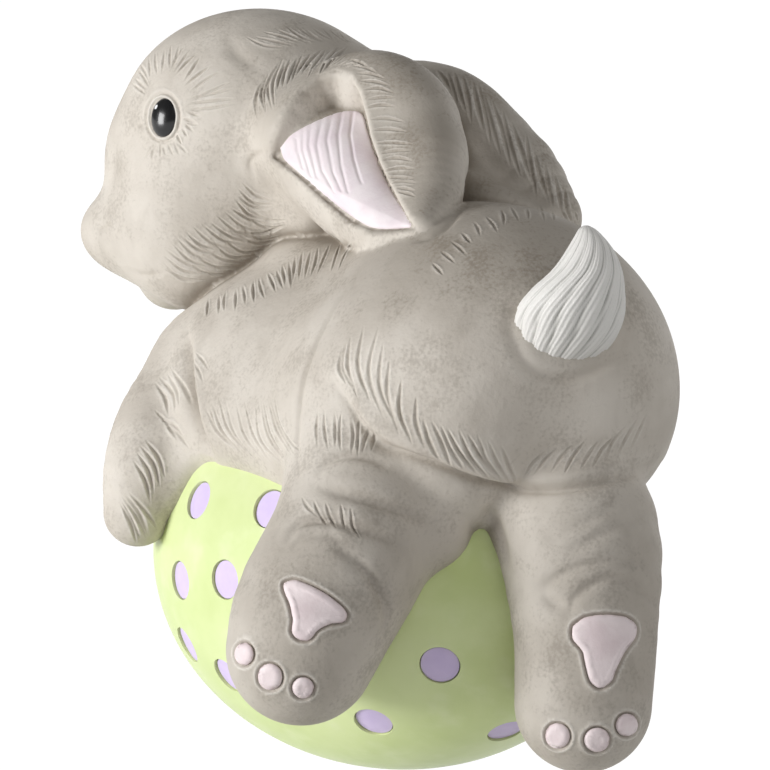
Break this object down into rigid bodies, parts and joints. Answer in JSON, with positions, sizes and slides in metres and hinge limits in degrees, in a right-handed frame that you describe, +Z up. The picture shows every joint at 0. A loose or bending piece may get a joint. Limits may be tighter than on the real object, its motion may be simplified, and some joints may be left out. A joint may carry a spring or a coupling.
{
  "type": "hare figurine",
  "caption": "Table figurine of a resting hare draped over a large spotted egg, head turned to one side, ears laid back, limbs hanging down, standing on the egg's flat foot.",
  "frame": {"origin": "centre of the flat foot ground on the underside of the egg, on the table", "axes": "+Z up, +Y along the egg from the hare's chest to its rump, +X towards the hare's left side"},
  "size_m": [0.1021, 0.1575, 0.145],
  "materials": {
    "fur_paint": "matte",
    "egg_glaze": "satin",
    "spot_paint": "satin",
    "pink_paint": "matte",
    "tail_paint": "matte",
    "eye_gloss": "gloss"
  },
  "bodies": {
    "root": {"egg": "egg_glaze", "egg_spot_01": "spot_paint", "egg_spot_02": "spot_paint", "egg_spot_03": "spot_paint", "egg_spot_04": "spot_paint", "egg_spot_05": "spot_paint", "egg_spot_06": "spot_paint", "egg_spot_07": "spot_paint", "egg_spot_08": "spot_paint", "egg_spot_09": "spot_paint", "egg_spot_10": "spot_paint", "egg_spot_11": "spot_paint", "egg_spot_12": "spot_paint", "egg_spot_13": "spot_paint", "egg_spot_14": "spot_paint", "egg_spot_15": "spot_paint", "egg_spot_16": "spot_paint", "egg_spot_17": "spot_paint", "egg_spot_18": "spot_paint", "egg_spot_19": "spot_paint", "egg_spot_20": "spot_paint", "egg_spot_21": "spot_paint", "egg_spot_22": "spot_paint", "torso": "fur_paint", "head": "fur_paint", "eye_left": "eye_gloss", "eye_right": "eye_gloss", "ear_left": "fur_paint", "ear_lining_left": "pink_paint", "ear_right": "fur_paint", "ear_lining_right": "pink_paint", "arm_left": "fur_paint", "arm_right": "fur_paint", "leg_left": "fur_paint", "left_heel_pad": "pink_paint", "left_toe_pad_1": "pink_paint", "left_toe_pad_2": "pink_paint", "left_toe_pad_3": "pink_paint", "leg_right": "fur_paint", "right_heel_pad": "pink_paint", "right_toe_pad_1": "pink_paint", "right_toe_pad_2": "pink_paint", "right_toe_pad_3": "pink_paint", "tail": "tail_paint"}
  },
  "joints": []
}
